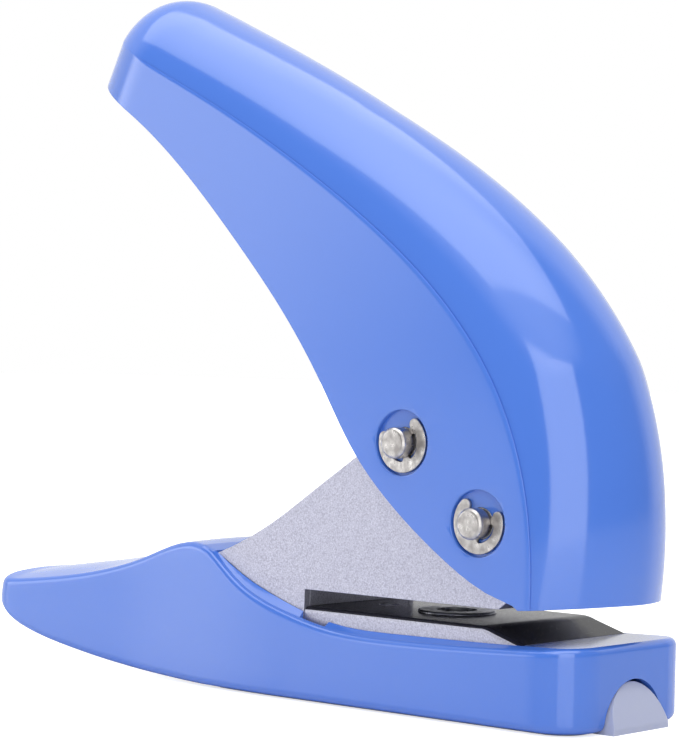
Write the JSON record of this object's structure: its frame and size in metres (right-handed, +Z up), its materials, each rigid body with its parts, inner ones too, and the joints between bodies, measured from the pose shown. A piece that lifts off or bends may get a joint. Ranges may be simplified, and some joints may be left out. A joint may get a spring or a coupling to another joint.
{
  "type": "single-hole palm punch",
  "caption": "Palm-held single-hole paper punch: curved hollow lever on a steel jaw frame, a sprung punch and die, and a moulded base with a drop-down chip door.",
  "frame": {"origin": "middle of the footprint on the table, below the middle of the object's length", "axes": "+X towards the paper mouth and the chip door's tab, +Z up, the object symmetric about Y = 0"},
  "size_m": [0.1234, 0.0344, 0.1091],
  "materials": {
    "shell_blue": "polished moulded ABS",
    "door_grey": "milky moulded polyethylene",
    "galvanised_sheet": "galvanised, fine spangle",
    "nickel_plate": "nickel plated, struck end faces",
    "tool_steel": "ground and hardened",
    "spring_steel": "drawn wire",
    "nylon": "natural moulded nylon"
  },
  "bodies": {
    "base": {"base_shell": "shell_blue", "base_screws": "nickel_plate", "jaw_frame": "galvanised_sheet", "die_channel": "galvanised_sheet", "throat_spacer": "galvanised_sheet", "pivot_spacer": "tool_steel", "frame_rivets": "nickel_plate", "guide_bush": "tool_steel", "die_bush": "tool_steel", "return_spring": "spring_steel", "hinge_pin": "nickel_plate"},
    "lever": {"handle_shell": "shell_blue", "pivot_pin": "nickel_plate", "drive_pin": "nickel_plate", "pivot_clips": "nickel_plate", "drive_clips": "nickel_plate", "drive_sleeves": "nylon"},
    "punch": {"punch_rod": "tool_steel", "punch_yoke": "tool_steel", "spring_washer": "nickel_plate"},
    "door": {"chip_door": "door_grey"}
  },
  "joints": [
    {"name": "lever_pivot", "type": "hinge", "parent": "base", "child": "lever", "pos_m": [0.0427, 0, 0.0287], "axis": [0, -1, 0], "range_deg": [0, 18], "stiffness_Nm_per_rad": 2, "springref_deg": -17.19},
    {"name": "punch_slide", "type": "slide", "parent": "base", "child": "punch", "axis": [0, 0, -1], "range_m": [0, 0.006], "deforming": ["return_spring"]},
    {"name": "door_hinge", "type": "hinge", "parent": "base", "child": "door", "pos_m": [-0.0085, 0, 0.0025], "axis": [0, 1, 0], "range_deg": [0, 75]}
  ],
  "couplings": [
    {"joint": "punch_slide", "follows": "lever_pivot", "m_per_rad": 0.0156}
  ]
}
